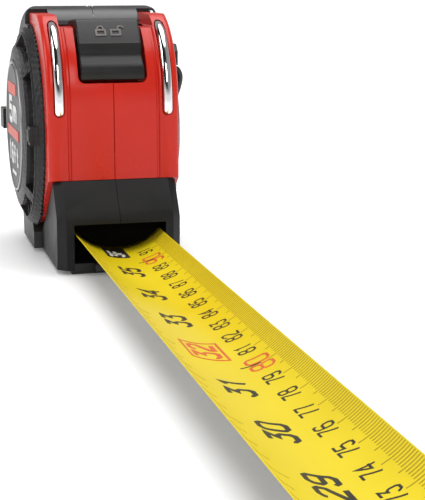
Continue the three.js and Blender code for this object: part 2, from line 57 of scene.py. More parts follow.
camera.location = (-0.06598, -0.40285, 0.08139)
camera.rotation_euler = (radians(90 - camera_down), 0, radians(-camera_right))
bpy.context.scene.collection.objects.link(camera)
bpy.context.scene.camera = camera


# ------------------------------------------------------------------ studio
# A lit white table in a room with white walls, dark high up on the left, which the chrome mirrors. A broad
# soft light overhead leaves a narrow shadow along the blade, and two weak ones lift the front and the left.
def new_material(name):
    material = bpy.data.materials.new(name)
    material.use_nodes = True
    nodes = material.node_tree.nodes
    links = material.node_tree.links
    return material, nodes, links, nodes["Principled BSDF"]


floor_half = 60
floor_bm = bmesh.new()
bmesh.ops.create_grid(floor_bm, x_segments=1, y_segments=1, size=floor_half)
floor_mesh = bpy.data.meshes.new("floor")
floor_bm.to_mesh(floor_mesh)
floor_bm.free()
floor = bpy.data.objects.new("floor", floor_mesh)
bpy.context.scene.collection.objects.link(floor)
floor_material, nodes, links, shader = new_material("floor_paper")
shader.inputs["Base Color"].default_value = (0.93, 0.93, 0.93, 1)
shader.inputs["Roughness"].default_value = 0.9
shader.inputs["Specular IOR Level"].default_value = 0.1
shader.inputs["Emission Color"].default_value = (1, 1, 1, 1)
shader.inputs["Emission Strength"].default_value = 0.12
floor_mesh.materials.append(floor_material)

world = bpy.data.worlds.new("studio")
world.use_nodes = True
sky_nodes = world.node_tree.nodes
sky_links = world.node_tree.links
sky_nodes["Background"].inputs["Strength"].default_value = 0.33
direction = sky_nodes.new("ShaderNodeTexCoord")
towards_dark = sky_nodes.new("ShaderNodeVectorMath")
towards_dark.operation = "DOT_PRODUCT"
towards_dark.inputs[1].default_value = (-0.74, -0.38, 0.56)
darkness = sky_nodes.new("ShaderNodeMapRange")
darkness.inputs["From Min"].default_value = 0.42
darkness.inputs["From Max"].default_value = 0.56
darkness.inputs["To Min"].default_value = 1.0
darkness.inputs["To Max"].default_value = 0.06
sky_links.new(direction.outputs["Generated"], towards_dark.inputs[0])
sky_links.new(towards_dark.outputs["Value"], darkness.inputs["Value"])
height = sky_nodes.new("ShaderNodeSeparateXYZ")
walls = sky_nodes.new("ShaderNodeMapRange")
walls.inputs["From Min"].default_value = 0.08
walls.inputs["From Max"].default_value = 0.26
walls.inputs["To Min"].default_value = 2.9
walls.inputs["To Max"].default_value = 0.0
brightness = sky_nodes.new("ShaderNodeMath")
brightness.operation = "MAXIMUM"
sky_links.new(direction.outputs["Generated"], height.inputs["Vector"])
sky_links.new(height.outputs["Z"], walls.inputs["Value"])
sky_links.new(darkness.outputs["Result"], brightness.inputs[0])
sky_links.new(walls.outputs["Result"], brightness.inputs[1])
sky_links.new(brightness.outputs["Value"], sky_nodes["Background"].inputs["Color"])
bpy.context.scene.world = world
bpy.context.scene.view_settings.view_transform = "Standard"


def lamp(name, kind, place, energy):
    """A lamp at a place, aimed at the middle of the case."""
    data = bpy.data.lights.new(name, kind)
    data.energy = energy
    item = bpy.data.objects.new(name, data)
    item.location = place
    aim = Vector((0, -0.03, 0.03)) - Vector(place)
    item.rotation_euler = aim.to_track_quat("-Z", "Y").to_euler()
    bpy.context.scene.collection.objects.link(item)
    return data


key = lamp("key", "SUN", (0.11, 0.08, 0.95), 2.85)
key.angle = radians(62)
fill = lamp("front_fill", "AREA", (-0.2, -1.1, 0.75), 4.0)
fill.size = 0.5
rim = lamp("left_rim", "AREA", (-0.8, 0.1, 0.5), 2.0)
rim.size = 0.35


# ------------------------------------------------------------------ red shells
# Two glossy moulded ABS halves that meet on the centre plane. The front runs up and round the brow to the
# top, with a raised panel in the middle, a bed for each frame bar, a pocket for the thumb lock and an ear at
# each top corner. The overmould grips them from behind, and four screws hold them together.
mm = 0.001


def finish_mesh(bm, name, sharp=35):
    """The bmesh, drawn in millimetres, as a mesh object at the origin, smooth but for its sharp edges."""
    bmesh.ops.remove_doubles(bm, verts=bm.verts, dist=0.002)
    bmesh.ops.recalc_face_normals(bm, faces=bm.faces)
    bmesh.ops.scale(bm, vec=(mm, mm, mm), verts=bm.verts)
    mesh = bpy.data.meshes.new(name)
    bm.to_mesh(mesh)
    bm.free()
    mesh.shade_smooth()
    mesh.set_sharp_from_angle(angle=radians(sharp))
    piece = bpy.data.objects.new(name, mesh)
    bpy.context.scene.collection.objects.link(piece)
    return piece


def push(bm, face_list, vector):
    """Extrudes faces along a vector and returns the new end faces."""
    made = bmesh.ops.extrude_face_region(bm, geom=face_list)["geom"]
    bmesh.ops.translate(bm, vec=vector, verts=[g for g in made if isinstance(g, bmesh.types.BMVert)])
    bmesh.ops.delete(bm, geom=face_list, context="FACES_ONLY")
    return [g for g in made if isinstance(g, bmesh.types.BMFace)]


def prism(points, vector):
    """A flat outline of (x, y, z) points as a closed solid, drawn out along a vector."""
    bm = bmesh.new()
    face = bm.faces.new([bm.verts.new(p) for p in points])
    bm.faces.new([bm.verts.new(p) for p in points])
    push(bm, [face], vector)
    bmesh.ops.remove_doubles(bm, verts=bm.verts, dist=1e-4)
    bmesh.ops.recalc_face_normals(bm, faces=bm.faces)
    return bm


def slab(points, x0, x1):
    """A side-view outline of (y, z) points as a solid from x0 to x1."""
    return prism([(x0, y, z) for y, z in points], (x1 - x0, 0, 0))


def plank(points, y0, y1):
    """A front-view outline of (x, z) points as a solid from y0 to y1."""
    return prism([(x, y0, z) for x, z in points], (0, y1 - y0, 0))


def block(x0, x1, y0, y1, z0, z1):
    """A cutter with its sides along the axes."""
    return slab([(y0, z0), (y1, z0), (y1, z1), (y0, z1)], x0, x1)


def arc(u, v, radius, start, end, steps):
    """Points of an arc about (u, v), angles in degrees."""
    turn = [radians(start + (end - start) * i / steps) for i in range(steps + 1)]
    return [(u + radius * cos(a), v + radius * sin(a)) for a in turn]


def tube(path, radius, sides=16):
    """A round bar along a path of (x, y, z) points, with round ends."""
    points = [Vector(p) for p in path]
    rings = []
    for i, point in enumerate(points):
        along = (points[min(i + 1, len(points) - 1)] - points[max(i - 1, 0)]).normalized()
        rings.append((point, along, radius))
    cap = [(radius * sin(radians(a)), radius * cos(radians(a))) for a in (75, 50, 25)]
    first, first_way = rings[0][:2]
    last, last_way = rings[-1][:2]
    rings = [(first - first_way * out, first_way, r) for out, r in cap] + rings
    rings += [(last + last_way * out, last_way, r) for out, r in reversed(cap)]
    bm = bmesh.new()
    side = rings[0][1].orthogonal().normalized()
    loops = []
    for point, along, r in rings:
        side = (side - along * side.dot(along)).normalized()
        up = along.cross(side)
        turns = [2 * pi * k / sides for k in range(sides)]
        loops.append([bm.verts.new(point + side * (r * cos(a)) + up * (r * sin(a))) for a in turns])
    for near, far in zip(loops, loops[1:]):
        for k in range(sides):
            bm.faces.new((near[k], near[(k + 1) % sides], far[(k + 1) % sides], far[k]))
    bm.faces.new(loops[0])
    bm.faces.new(loops[-1])
    bmesh.ops.recalc_face_normals(bm, faces=bm.faces)
    return bm


def turned(profile, y=0.0, z=36.5, steps=96):
    """A piece turned about the X axis through (y, z); its profile is a closed loop of (radius, x)."""
    bm = bmesh.new()
    loop = [bm.verts.new((x, y, z + r)) for r, x in profile]
    edges = [bm.edges.new((loop[i], loop[(i + 1) % len(loop)])) for i in range(len(loop))]
    bmesh.ops.spin(bm, geom=loop + edges, cent=(0, y, z), axis=(1, 0, 0), angle=2 * pi, steps=steps,
                   use_merge=True)
    bmesh.ops.remove_doubles(bm, verts=bm.verts, dist=1e-3)
    bmesh.ops.delete(bm, geom=[e for e in bm.edges if not e.link_faces], context="EDGES")
    bmesh.ops.recalc_face_normals(bm, faces=bm.faces)
    return bm


def joined(bm, *others):
    """Adds other bmeshes to bm, each as a closed body of its own."""
    for other in others:
        scratch = bpy.data.meshes.new("scratch")
        other.to_mesh(scratch)
        other.free()
        bm.from_mesh(scratch)
        bpy.data.meshes.remove(scratch)
    return bm


def cut(bm, *others, operation="DIFFERENCE"):
    """bm cut by, or joined with, the other bmeshes; all are used up."""
    def scratch_object(source):
        mesh = bpy.data.meshes.new("scratch")
        source.to_mesh(mesh)
        source.free()
        item = bpy.data.objects.new("scratch", mesh)
        bpy.context.scene.collection.objects.link(item)
        return item

    target = scratch_object(bm)
    cutters = [scratch_object(other) for other in others]
    for cutter in cutters:
        modifier = target.modifiers.new("cut", "BOOLEAN")
        modifier.solver = "EXACT"
        modifier.operation = operation
        modifier.object = cutter
    bpy.context.view_layer.update()
    evaluated = target.evaluated_get(bpy.context.evaluated_depsgraph_get())
    result = bpy.data.meshes.new_from_object(evaluated)
    out = bmesh.new()
    out.from_mesh(result)
    for item in [target, *cutters]:
        bpy.data.objects.remove(item)
    bpy.data.meshes.remove(result)
    return out


def mirror_copy(bm):
    """The same piece for the other side of the centre plane."""
    copy = bm.copy()
    bmesh.ops.scale(copy, vec=(-1, 1, 1), verts=copy.verts)
    bmesh.ops.reverse_faces(copy, faces=copy.faces)
    return copy


def soften(piece, width, segments=2, angle=40):
    """A small moulded radius on every sharp edge."""
    bevel = piece.modifiers.new("edges", "BEVEL")
    bevel.width = width * mm
    bevel.segments = segments
    bevel.limit_method = "ANGLE"
    bevel.angle_limit = radians(angle)
    return piece


def settle(piece, body, slot, material, *stands_for):
    """Gives a finished piece its material and body, and hides the CAD nodes it stands for; slot is not used.
    """
    piece.data.materials.clear()
    piece.data.materials.append(material)
    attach(piece, body)
    if stands_for:
        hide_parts(*stands_for)
    return piece


def object_noise(nodes, links, scale, detail=2.0, stretch=(1, 1, 1)):
    """Noise that lies still on the object, with features of about 1 / scale metres."""
    place = nodes.new("ShaderNodeTexCoord")
    mapping = nodes.new("ShaderNodeMapping")
    mapping.inputs["Scale"].default_value = stretch
    noise = nodes.new("ShaderNodeTexNoise")
    noise.inputs["Scale"].default_value = scale
    noise.inputs["Detail"].default_value = detail
    links.new(place.outputs["Object"], mapping.inputs["Vector"])
    links.new(mapping.outputs["Vector"], noise.inputs["Vector"])
    return noise.outputs["Fac"]


def add_bump(nodes, links, shader, height, strength, distance=0.0002):
    """Makes the surface rise and fall with a height."""
    bump = nodes.new("ShaderNodeBump")
    bump.inputs["Strength"].default_value = strength
    bump.inputs["Distance"].default_value = distance
    links.new(height, bump.inputs["Height"])
    links.new(bump.outputs["Normal"], shader.inputs["Normal"])
    return bump


def vary(nodes, links, source, low, high, target, from_low=0.3, from_high=0.7):
    """Feeds a socket with a value that runs from low to high as the source does."""
    spread = nodes.new("ShaderNodeMapRange")
    spread.inputs["From Min"].default_value = from_low
    spread.inputs["From Max"].default_value = from_high
    spread.inputs["To Min"].default_value = low
    spread.inputs["To Max"].default_value = high
    links.new(source, spread.inputs["Value"])
    links.new(spread.outputs["Result"], target)
    return spread


def tint(nodes, links, source, dark, light, target, low=0.3, high=0.7):
    """Colours a socket between two colours as the source runs."""
    ramp = nodes.new("ShaderNodeValToRGB")
    ramp.color_ramp.elements[0].position = low
    ramp.color_ramp.elements[0].color = (*dark, 1)
    ramp.color_ramp.elements[1].position = high
    ramp.color_ramp.elements[1].color = (*light, 1)
    links.new(source, ramp.inputs["Fac"])
    links.new(ramp.outputs["Color"], target)
    return ramp


def surface(name, dark, light, rough, blotch, grain, depth, metallic=0.0, stretch=(1, 1, 1), gloss=0.5):
    """A material of cloudy colour and gloss with a fine grain; blotch and grain are features per metre."""
    material, nodes, links, shader = new_material(name)
    shader.inputs["Metallic"].default_value = metallic
    shader.inputs["Specular IOR Level"].default_value = gloss
    clouds = object_noise(nodes, links, blotch, 3)
    tint(nodes, links, clouds, dark, light, shader.inputs["Base Color"])
    vary(nodes, links, clouds, *rough, shader.inputs["Roughness"])
    fine = object_noise(nodes, links, grain, 2, stretch)
    add_bump(nodes, links, shader, fine, depth)
    return material


reel_z = 36.5
front_y = -34.9
brow = (-9, 45)
shell_half = 18.2
top_z = 69
bar_x = 14.9
seam = 0.06

# The front's section from the seam out to the side: each point is (x, how far it stands back).
corner_r, wall = 1.6, 1.8
section = [(seam, 0.12), (0.2, 0), (11.5, 0)]
section += [(11.8, 0.1), (12.0, 0.5), (12.5, 0.55), (12.75, 0.15), (13.0, 0)]
section += arc(shell_half - corner_r, corner_r, corner_r, -90, 0, 9)
section += [(shell_half, 20), (shell_half - wall, 20), (shell_half - wall, 5.5), (9.4, 4.6), (seam, 4.6)]

shell = bmesh.new()
start = shell.faces.new([shell.verts.new((x, front_y + back, 12)) for x, back in section])
shell.faces.new([shell.verts.new(v.co) for v in start.verts])
ends = push(shell, [start], (0, 0, brow[1] - 12))
spun = bmesh.ops.spin(
    shell, geom=ends + [e for f in ends for e in f.edges] + [v for f in ends for v in f.verts],
    cent=(0, *brow), axis=(1, 0, 0), angle=-pi / 2, steps=30, use_merge=False)
push(shell, [g for g in spun["geom_last"] if isinstance(g, bmesh.types.BMFace)], (0, -brow[0], 0))
bmesh.ops.remove_doubles(shell, verts=shell.verts, dist=1e-3)
bmesh.ops.recalc_face_normals(shell, faces=shell.faces)

bar_path = [(bar_x, front_y - 0.15, 43.6), (bar_x, front_y - 0.15, 44.3)]
bar_path += [(bar_x, y, z) for y, z in arc(*brow, 26.05, 180, 133, 14)]
bar_path += [(bar_x, -24.9, 65.1), (bar_x, -22.9, 65.9), (bar_x, -20.4, 66.2)]

nose_room = slab(
    [(-60, -5), (-60, 24.95), (-34.9, 24.95), (-33.4, 24.6), (-20, 14.75), (-8, 6.2), (0, 6.2), (0, -5)],
    -1, 30)
pocket = plank(
    [(-1, 51.1), *arc(7.6, 53.0, 1.9, -90, 0, 6), (9.5, 65.5), (12.6, 65.5), (13.1, 66.0), (13.1, 90),
     (-1, 90)],
    -50, -1)
above = block(-1, 30, -60, 30, top_z, 90)
bar_bed = tube([*bar_path, (bar_x, -14, 66.6)], 1.55)
shell = cut(shell, nose_room, pocket, above, bar_bed)
pocket_floor = slab(
    [(-30.5, 49), (-27.2, 51.2), (-20.5, 60.5), (-10, 65.0), (-4, 65.4), (-4, 63), (-9, 62), (-19, 56)],
    seam, 13)
side_wall = slab(arc(0, reel_z, 28.6, 0, 355, 71), 16.6, 18.0)
window_floor = turned([(22.8, 17.5), (27.2, 17.5), (27.2, 19.0), (22.8, 19.9)])
shell = joined(shell, pocket_floor, side_wall, window_floor)

red = surface("red_abs", (0.56, 0.018, 0.008), (0.60, 0.020, 0.009), (0.24, 0.29), 60, 900, 0.03,
              gloss=0.3)
left = mirror_copy(shell)
settle(soften(finish_mesh(shell, "shell_right"), 0.3), "case", "red_shell", red, "right_shell")
settle(soften(finish_mesh(left, "shell_left"), 0.3), "case", "red_shell", red, "left_shell")


# ------------------------------------------------------------------ rubber overmould
# Soft black rubber moulded over the back, the top and the sides of each half, smooth round the edge and
# pressed with small dimples on the side. The side is a round plate with eight ribbed windows, a grip pad at
# front and back, a toothed rim and a seat for the label; it stands further out on the left.
seat_r = 19.1
case_r = 34.5
left_crown, right_crown = 23.2, 21.3


def ring_sector(inner, outer, start, end, x0, x1):
    """A piece of a flat ring about the reel axis, between two angles in degrees."""
    points = arc(0, reel_z, inner, start, end, 8) + arc(0, reel_z, outer, end, start, 8)
    return slab(points, x0, x1)


def side_plate(crown, pad_rise):
    """The round plate with its highest ring at crown, drawn on the right; it falls away to its rim."""
    rim = 18.6
    fall = crown - rim
    plate = turned([
        (seat_r, 20.3), (seat_r, crown - 0.2), (seat_r + 0.25, crown), (20.6, crown),
        (23.2, crown - 0.14 * fall), (26.9, rim + 0.46 * fall), (27.1, rim + 0.36 * fall),
        (27.3, rim + 0.34 * fall), (27.6, rim + 0.38 * fall),
        (28.7, rim + 0.15 * fall), (29.1, rim + 0.2), (29.3, rim), (29.3, 17.9), (18, 17.9), (18, 20.3),
    ], steps=128)
    middles = [22.5 + 45 * i for i in range(8)]
    plate = cut(plate, *[ring_sector(23.2, 26.6, a - 18, a + 18, 17, 30) for a in middles])
    rib_angles = [middle + side for middle in middles for side in (-6, 6)]
    ribs = [ring_sector(23.1, 26.7, a - 0.8, a + 0.8, 17.9, crown - 0.55 * fall) for a in rib_angles]
    teeth = [ring_sector(29.1, 29.9, a, a + 1.9, 17.9, 18.75) for a in range(104, 236, 4)]
    pad_x = rim + pad_rise * fall
    front_pad = slab([(-28.2, 34), (-20.6, 34), (-20.6, 39), (-28.2, 39)], 18, pad_x)
    inset = slab([(-27.4, 34.8), (-21.4, 34.8), (-21.4, 38.2), (-27.4, 38.2)], 18, pad_x + 0.25)
    rear_pad = slab([(20.6, 33.5), (28.4, 33.5), (28.4, 39.5), (20.6, 39.5)], 18, crown + 1.3)
    return joined(plate, *ribs, *teeth, front_pad, inset, rear_pad)


shoulder_r = 3.4
band_section = [(seam, case_r), (0.5, case_r), (0.6, case_r - 0.7), (0.95, case_r - 0.7), (1.05, case_r)]
band_section += arc(16, case_r - shoulder_r, shoulder_r, 90, 0, 10)
band_section += [(19.4, 27.5), (17.9, 27.5), (17.9, 29), (seam, 29)]
band = bmesh.new()
first = band.faces.new([band.verts.new((x, 0, reel_z + r)) for x, r in band_section])
last = band.faces.new([band.verts.new(v.co) for v in first.verts])
bmesh.ops.spin(band, geom=[last, *last.edges, *last.verts], cent=(0, 0, reel_z), axis=(1, 0, 0),
               angle=-radians(136), steps=60, use_merge=False)
push(band, [first], (0, -5.2, 0))
bmesh.ops.remove_doubles(band, verts=band.verts, dist=1e-3)
bmesh.ops.recalc_face_normals(band, faces=band.faces)
above_slope = slab(
    [(-9, 66.0), (-5.2, 66.0), (-4.5, 67.2), (-2.9, 68.6), (-0.5, 69.9), (3, 70.85), (3, 80), (-9, 80)],
    -1, 30)
ear_room = block(13.1, 30, -12, 0.15, 65.9, 80)
band = cut(band, above_slope, ear_room)
heel = arc(0, reel_z, case_r, -58, -44, 4) + arc(0, reel_z, 27.5, -50, -100, 8)
band = joined(band, slab([(-7.7, 1.2), (17.5, 1.2), *heel, (-7.7, 6.1)], seam, 19.4))

rubber, nodes, links, shader = new_material("black_rubber")
shader.inputs["Specular IOR Level"].default_value = 0.25
mottle = object_noise(nodes, links, 120, 3)
tint(nodes, links, mottle, (0.010, 0.010, 0.011), (0.024, 0.024, 0.025), shader.inputs["Base Color"])
vary(nodes, links, mottle, 0.38, 0.48, shader.inputs["Roughness"])
place = nodes.new("ShaderNodeTexCoord")
dimples = nodes.new("ShaderNodeTexVoronoi")
dimples.inputs["Scale"].default_value = 620
dimples.inputs["Randomness"].default_value = 0.15
links.new(place.outputs["Object"], dimples.inputs["Vector"])
pits = add_bump(nodes, links, shader, dimples.outputs["Distance"], 0.6, 0.0004)
grain = nodes.new("ShaderNodeBump")
grain.inputs["Strength"].default_value = 0.2
grain.inputs["Distance"].default_value = 0.0001
links.new(object_noise(nodes, links, 4200), grain.inputs["Height"])
links.new(grain.outputs["Normal"], pits.inputs["Normal"])

smooth_rubber = surface("smooth_rubber", (0.014, 0.014, 0.015), (0.026, 0.026, 0.027), (0.3, 0.36), 120, 4200,
                        0.1, gloss=0.6)
halves = (("left", mirror_copy(side_plate(left_crown, 0.8)), mirror_copy(band)),
          ("right", side_plate(right_crown, 0.3), band))
for side, plate_half, band_half in halves:
    piece = finish_mesh(joined(band_half, plate_half), f"overmould_{side}")
    settle(soften(piece, 0.2), "case", "rubber", rubber, f"{side}_overmould")
    piece.data.materials.append(smooth_rubber)
    for face in piece.data.polygons:
        face.material_index = int(abs(face.center.x) < 17 * mm)


# ------------------------------------------------------------------ nose
# The matt black block round the mouth, one half per shell, with broad chamfers down its front corners, a
# flank that runs back along the floor and an arch inside that guides the blade from above.
def grey(value):
    return value, value, value


nose_half = 17
mouth_half = 12.6
blade_r = 16.16
blade_axis = 22.01
arch_half_angle = 57.3
nose_outline = [(-41, 1.2), (-41.9, 4), (-42.3, 15.3), (-41.2, 17.4), (-34.9, 24.8), (-33.4, 24.4),
                (-20, 14.6), (-8, 6), (-8, 1.2)]
nose = slab(nose_outline, seam, nose_half)
corners = [e for e in nose.edges if all(v.co.x > nose_half - 0.1 and v.co.y < -34 for v in e.verts)]
bmesh.ops.bevel(nose, geom=corners, offset=2.3, offset_type="OFFSET", segments=1, profile=0.5,
                affect="EDGES", material=-1)
arch = arc(0, blade_axis, blade_r - 1.2, -90 + arch_half_angle, -90, 14)
nose = cut(
    nose, block(-1, nose_half - 1.6, -33.75, 20, -5, 60), block(-1, mouth_half, -60, -39.4, -5, 13.9),
    plank([(0, -5), (mouth_half, -5), *arch], -39.5, 0), block(-1, 13.45, -40.75, 16.15, -6, 3.25))
nose_black = surface("nose_black", grey(0.008), grey(0.013), (0.42, 0.55), 90, 2600, 0.25, gloss=0.2)
# Painted shade: the faces inside the mouth get a near-black, almost glossless material that stands in for the
# deep shadow there.
mouth_painted_shade = surface("mouth_painted_shade", grey(0.001), grey(0.002), (0.7, 0.85), 90, 2600, 0.2, gloss=0.03)
for side, half in (("left", mirror_copy(nose)), ("right", nose)):
    piece = soften(finish_mesh(half, f"nose_block_{side}"), 0.25)
    settle(piece, "case", "nose_black", nose_black, f"nose_{side}")
    # The faces inside the mouth take the painted shade; the rest keeps the nose's own matt black.
    piece.data.materials.append(mouth_painted_shade)
    for face in piece.data.polygons:
        x, y, z = face.center / mm
        face.material_index = int(abs(x) < mouth_half + 0.2 and z < 14 and y > -42)


# ------------------------------------------------------------------ sole and blade bumper
# A hard plastic plate that the tape stands on, with grip grooves across it, and a small rubber stop below
# the mouth against which the hook comes to rest.
sole_outline = [(-40.6, 3.1), (-40.6, 0.6), (-40, 0)]
for y in range(-35, 11, 5):
    sole_outline += [(y, 0), (y + 0.2, 0.4), (y + 1.3, 0.4), (y + 1.5, 0)]
sole_outline += [(15.4, 0), (16, 0.6), (16, 3.1)]
black_plastic = surface("black_plastic", grey(0.005), grey(0.010), (0.45, 0.6), 110, 1800, 0.15)
sole = finish_mesh(slab(sole_outline, -13.3, 13.3), "sole_plate")
settle(soften(sole, 0.12, 1), "case", "black_plastic", black_plastic, "sole")
bumper_outline = [(-42.4, 1.1), (-42.2, 0.9), (-40.75, 0.9), (-40.75, 3.1), (-42.1, 3.1), (-42.4, 2.6)]
bumper = finish_mesh(slab(bumper_outline, -7, 7), "bumper")
settle(soften(bumper, 0.2), "case", "rubber", smooth_rubber, "blade_bumper")


# ------------------------------------------------------------------ frame bars
# Two chromed steel bars that brace the front. They lie in the beds beside the raised panel, with a round
# end below, and dive into the ears above.
chrome = surface("chrome", (0.72, 0.72, 0.74), (0.86, 0.86, 0.87), (0.05, 0.12), 140, 2400, 0.03, 1.0)
bar = tube(bar_path, 1.3, 24)
left = mirror_copy(bar)
settle(finish_mesh(bar, "frame_bar_right", 80), "case", "chrome", chrome, "right_bar")
settle(finish_mesh(left, "frame_bar_left", 80), "case", "chrome", chrome, "left_bar")


# ------------------------------------------------------------------ thumb lock
# The black slide on the brow: a slanted face with two padlock marks, a hollow for the thumb and a rolled
# lip. Below it are its leaf spring and the arm that presses the brake pad on the blade.
def ribbon(bm, points, width, place, top, bottom):
    """A line of even width through (u, v) points, laid by place(u, v, lift) as a thin closed body.

    Its turns are mitred, and it rises a little along its way, so that where it meets itself no two faces
    lie in one plane.
    """
    loop = points[0] == points[-1]
    fine = [Vector(points[0])]
    for a, b in zip(points, points[1:]):
        a, b = Vector(a), Vector(b)
        parts = max(1, round((b - a).length / 0.9))
        fine += [a.lerp(b, (i + 1) / parts) for i in range(parts)]
    if loop:
        fine.pop()
    rows = []
    for i, point in enumerate(fine):
        before = fine[i - 1] if loop or i else None
        after = fine[(i + 1) % len(fine)] if loop or i < len(fine) - 1 else None
        into = (point - before).normalized() if before is not None else (after - point).normalized()
        out = (after - point).normalized() if after is not None else into
        mean = (into + out).normalized()
        normal = Vector((-mean.y, mean.x))
        reach = width / 2 / max(0.5, normal.dot(Vector((-into.y, into.x))))
        left_side, right_side = point + normal * reach, point - normal * reach
        high = top + 0.0015 * i
        rows.append([bm.verts.new(place(*side, lift)) for side, lift in
                     ((left_side, high), (right_side, high), (right_side, bottom), (left_side, bottom))])
    if loop:
        rows.append(rows[0])
    for near, far in zip(rows, rows[1:]):
        for k in range(4):
            bm.faces.new((near[k], near[(k + 1) % 4], far[(k + 1) % 4], far[k]))
    if not loop:
        bm.faces.new(rows[0])
        bm.faces.new(rows[-1])


lever_outline = [
    (-33.9, 51.9), (-34.2, 53.2), (-33.9, 54.8), (-32.7, 56.4), (-31.1, 57.7), (-30.2, 59.0),
    (-30.0, 60.4), (-29.9, 61.6), (-29.2, 62.4), (-25.6, 67.1), (-24.6, 67.8), (-22.6, 68.0),
    (-13, 67.4), (-11.2, 66.6), (-11.6, 65.8), (-20.6, 65.2), (-21.5, 64.2), (-28.1, 52.2),
]
lever_half = 8.75
lever = slab(lever_outline, -lever_half, lever_half)
lever_black = surface("lever_black", grey(0.008), grey(0.014), (0.3, 0.4), 100, 2200, 0.16, gloss=0.28)
lever_piece = soften(finish_mesh(lever, "thumb_lock", 28), 0.45, 3, 50)
settle(lever_piece, "lever", "lever_black", lever_black, "lock_lever")


def on_lever(u, v, lift):
    """A point on the lever's slanted face, u across and v up from its middle."""
    return u, -27.4 + 0.608 * v - 0.794 * lift, 64.75 + 0.794 * v + 0.608 * lift


locks = bmesh.new()
for left_u, swing, hoop_end in ((-3.4, 0, 0.3), (0.7, 1.5, 0.9)):
    body = [(left_u, -1.3), (left_u + 2.5, -1.3), (left_u + 2.5, 0.3), (left_u, 0.3), (left_u, -1.3)]
    hoop = [(0.45, 0.3), (0.45, 1.1), (0.8, 1.5), (1.6, 1.5), (1.95, 1.1), (1.95, hoop_end)]
    ribbon(locks, body, 0.5, on_lever, 0.2, -0.3)
    ribbon(locks, [(left_u + swing + u, v) for u, v in hoop], 0.4, on_lever, 0.2, -0.3)
lock_ink = surface("lock_mark", (0.09, 0.08, 0.08), (0.16, 0.13, 0.12), (0.25, 0.35), 200, 2400, 0.05)
settle(finish_mesh(locks, "padlock_marks"), "lever", "lever_black", lock_ink)


def dress(material, *names):
    """Gives CAD nodes that are shown as they are a material."""
    for name in names:
        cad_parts[name].data.materials.clear()
        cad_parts[name].data.materials.append(material)


spring_steel = surface("spring_steel", (0.20, 0.21, 0.24), (0.34, 0.35, 0.38), (0.25, 0.38), 150, 1500, 0.08,
                       1.0, (1, 9, 1))
dress(spring_steel, "lever_spring", "return_spring")
# The brake arm and the mouth guide, deep in the mouth, take the same painted shade.
dress(mouth_painted_shade, "brake_arm", "mouth_guide")
brake_rubber = surface("brake_rubber", (0.02, 0.018, 0.017), (0.04, 0.037, 0.035), (0.7, 0.85), 200, 3000,
                       0.4)
dress(brake_rubber, "brake_pad")


# ------------------------------------------------------------------ labels
# A glossy black disc in each side plate, edged by a thin metal ring and printed with the tape's length in
# metres and feet between red bars. Each stroke of a printed sign is a line through (across, up) points.
GLYPHS = {
    "0": [[(0.22, 0), (0.78, 0), (1, 0.14), (1, 0.86), (0.78, 1), (0.22, 1), (0, 0.86), (0, 0.14),
           (0.22, 0)]],
    "1": [[(0.25, 0.8), (0.6, 1), (0.6, 0)]],
    "2": [[(0, 0.78), (0, 0.87), (0.22, 1), (0.78, 1), (1, 0.87), (1, 0.62), (0, 0.16), (0, 0), (1, 0)]],
    "3": [[(0, 1), (1, 1), (0.45, 0.6), (0.78, 0.6), (1, 0.46), (1, 0.14), (0.78, 0), (0.22, 0), (0, 0.14),
           (0, 0.22)]],
    "4": [[(0.75, 0), (0.75, 1), (0, 0.3), (1, 0.3)]],
    "5": [[(1, 1), (0.06, 1), (0, 0.56), (0.78, 0.6), (1, 0.46), (1, 0.14), (0.78, 0), (0.22, 0), (0, 0.14)]],
    "6": [[(1, 0.84), (0.78, 1), (0.22, 1), (0, 0.86), (0, 0.14), (0.22, 0), (0.78, 0), (1, 0.14), (1, 0.42),
           (0.78, 0.55), (0, 0.55)]],
    "7": [[(0, 1), (1, 1), (1, 0.86), (0.4, 0)]],
    "8": [[(0.22, 0.53), (0.78, 0.53), (1, 0.4), (1, 0.13), (0.78, 0), (0.22, 0), (0, 0.13), (0, 0.4),
           (0.22, 0.53)],
          [(0.22, 0.53), (0.05, 0.66), (0.05, 0.88), (0.25, 1), (0.75, 1), (0.95, 0.88), (0.95, 0.66),
           (0.78, 0.53)]],
    "9": [[(0, 0.16), (0.22, 0), (0.78, 0), (1, 0.14), (1, 0.86), (0.78, 1), (0.22, 1), (0, 0.86), (0, 0.58),
           (0.22, 0.45), (1, 0.45)]],
    "F": [[(0, 0), (0, 1), (1, 1)], [(0.08, 0.52), (0.8, 0.52)]],
    "f": [[(0.85, 0.96), (0.3, 0.96), (0.3, 0)], [(0, 0.55), (0.75, 0.55)]],
    "m": [[(0, 0), (0, 0.62), (0.8, 0.62), (1, 0.5), (1, 0)], [(0.5, 0.55), (0.5, 0)]],
    "t": [[(0.3, 1), (0.3, 0.04), (0.85, 0.04)], [(0, 0.62), (0.75, 0.62)]],
}


def write(bm, text, middle, size, stroke, place, top, bottom, slant=0.0):
    """Lettering about a middle (u, v); size is a letter's (width, height)."""
    width, height = size
    pitch = width + 2.1 * stroke
    start = middle[0] - ((len(text) - 1) * pitch + width) / 2
    for i, letter in enumerate(text):
        left = start + i * pitch
        for level, line in enumerate(GLYPHS[letter]):
            laid = [(left + width * u + slant * height * (v - 0.5), middle[1] + height * (v - 0.5))
                    for u, v in line]
            ribbon(bm, laid, stroke, place, top + 0.02 * level, bottom)


def bar_block(bm, u0, u1, v0, v1, place, top, bottom):
    """A printed block, laid in rows so that it follows a curved face."""
    rows = max(1, round((v1 - v0) / 0.8))
    height = (v1 - v0) / rows
    for row in range(rows):
        middle = v0 + height * (row + 0.5)
        ribbon(bm, [(u0, middle), (u1, middle)], height + 0.04, place, top, bottom)


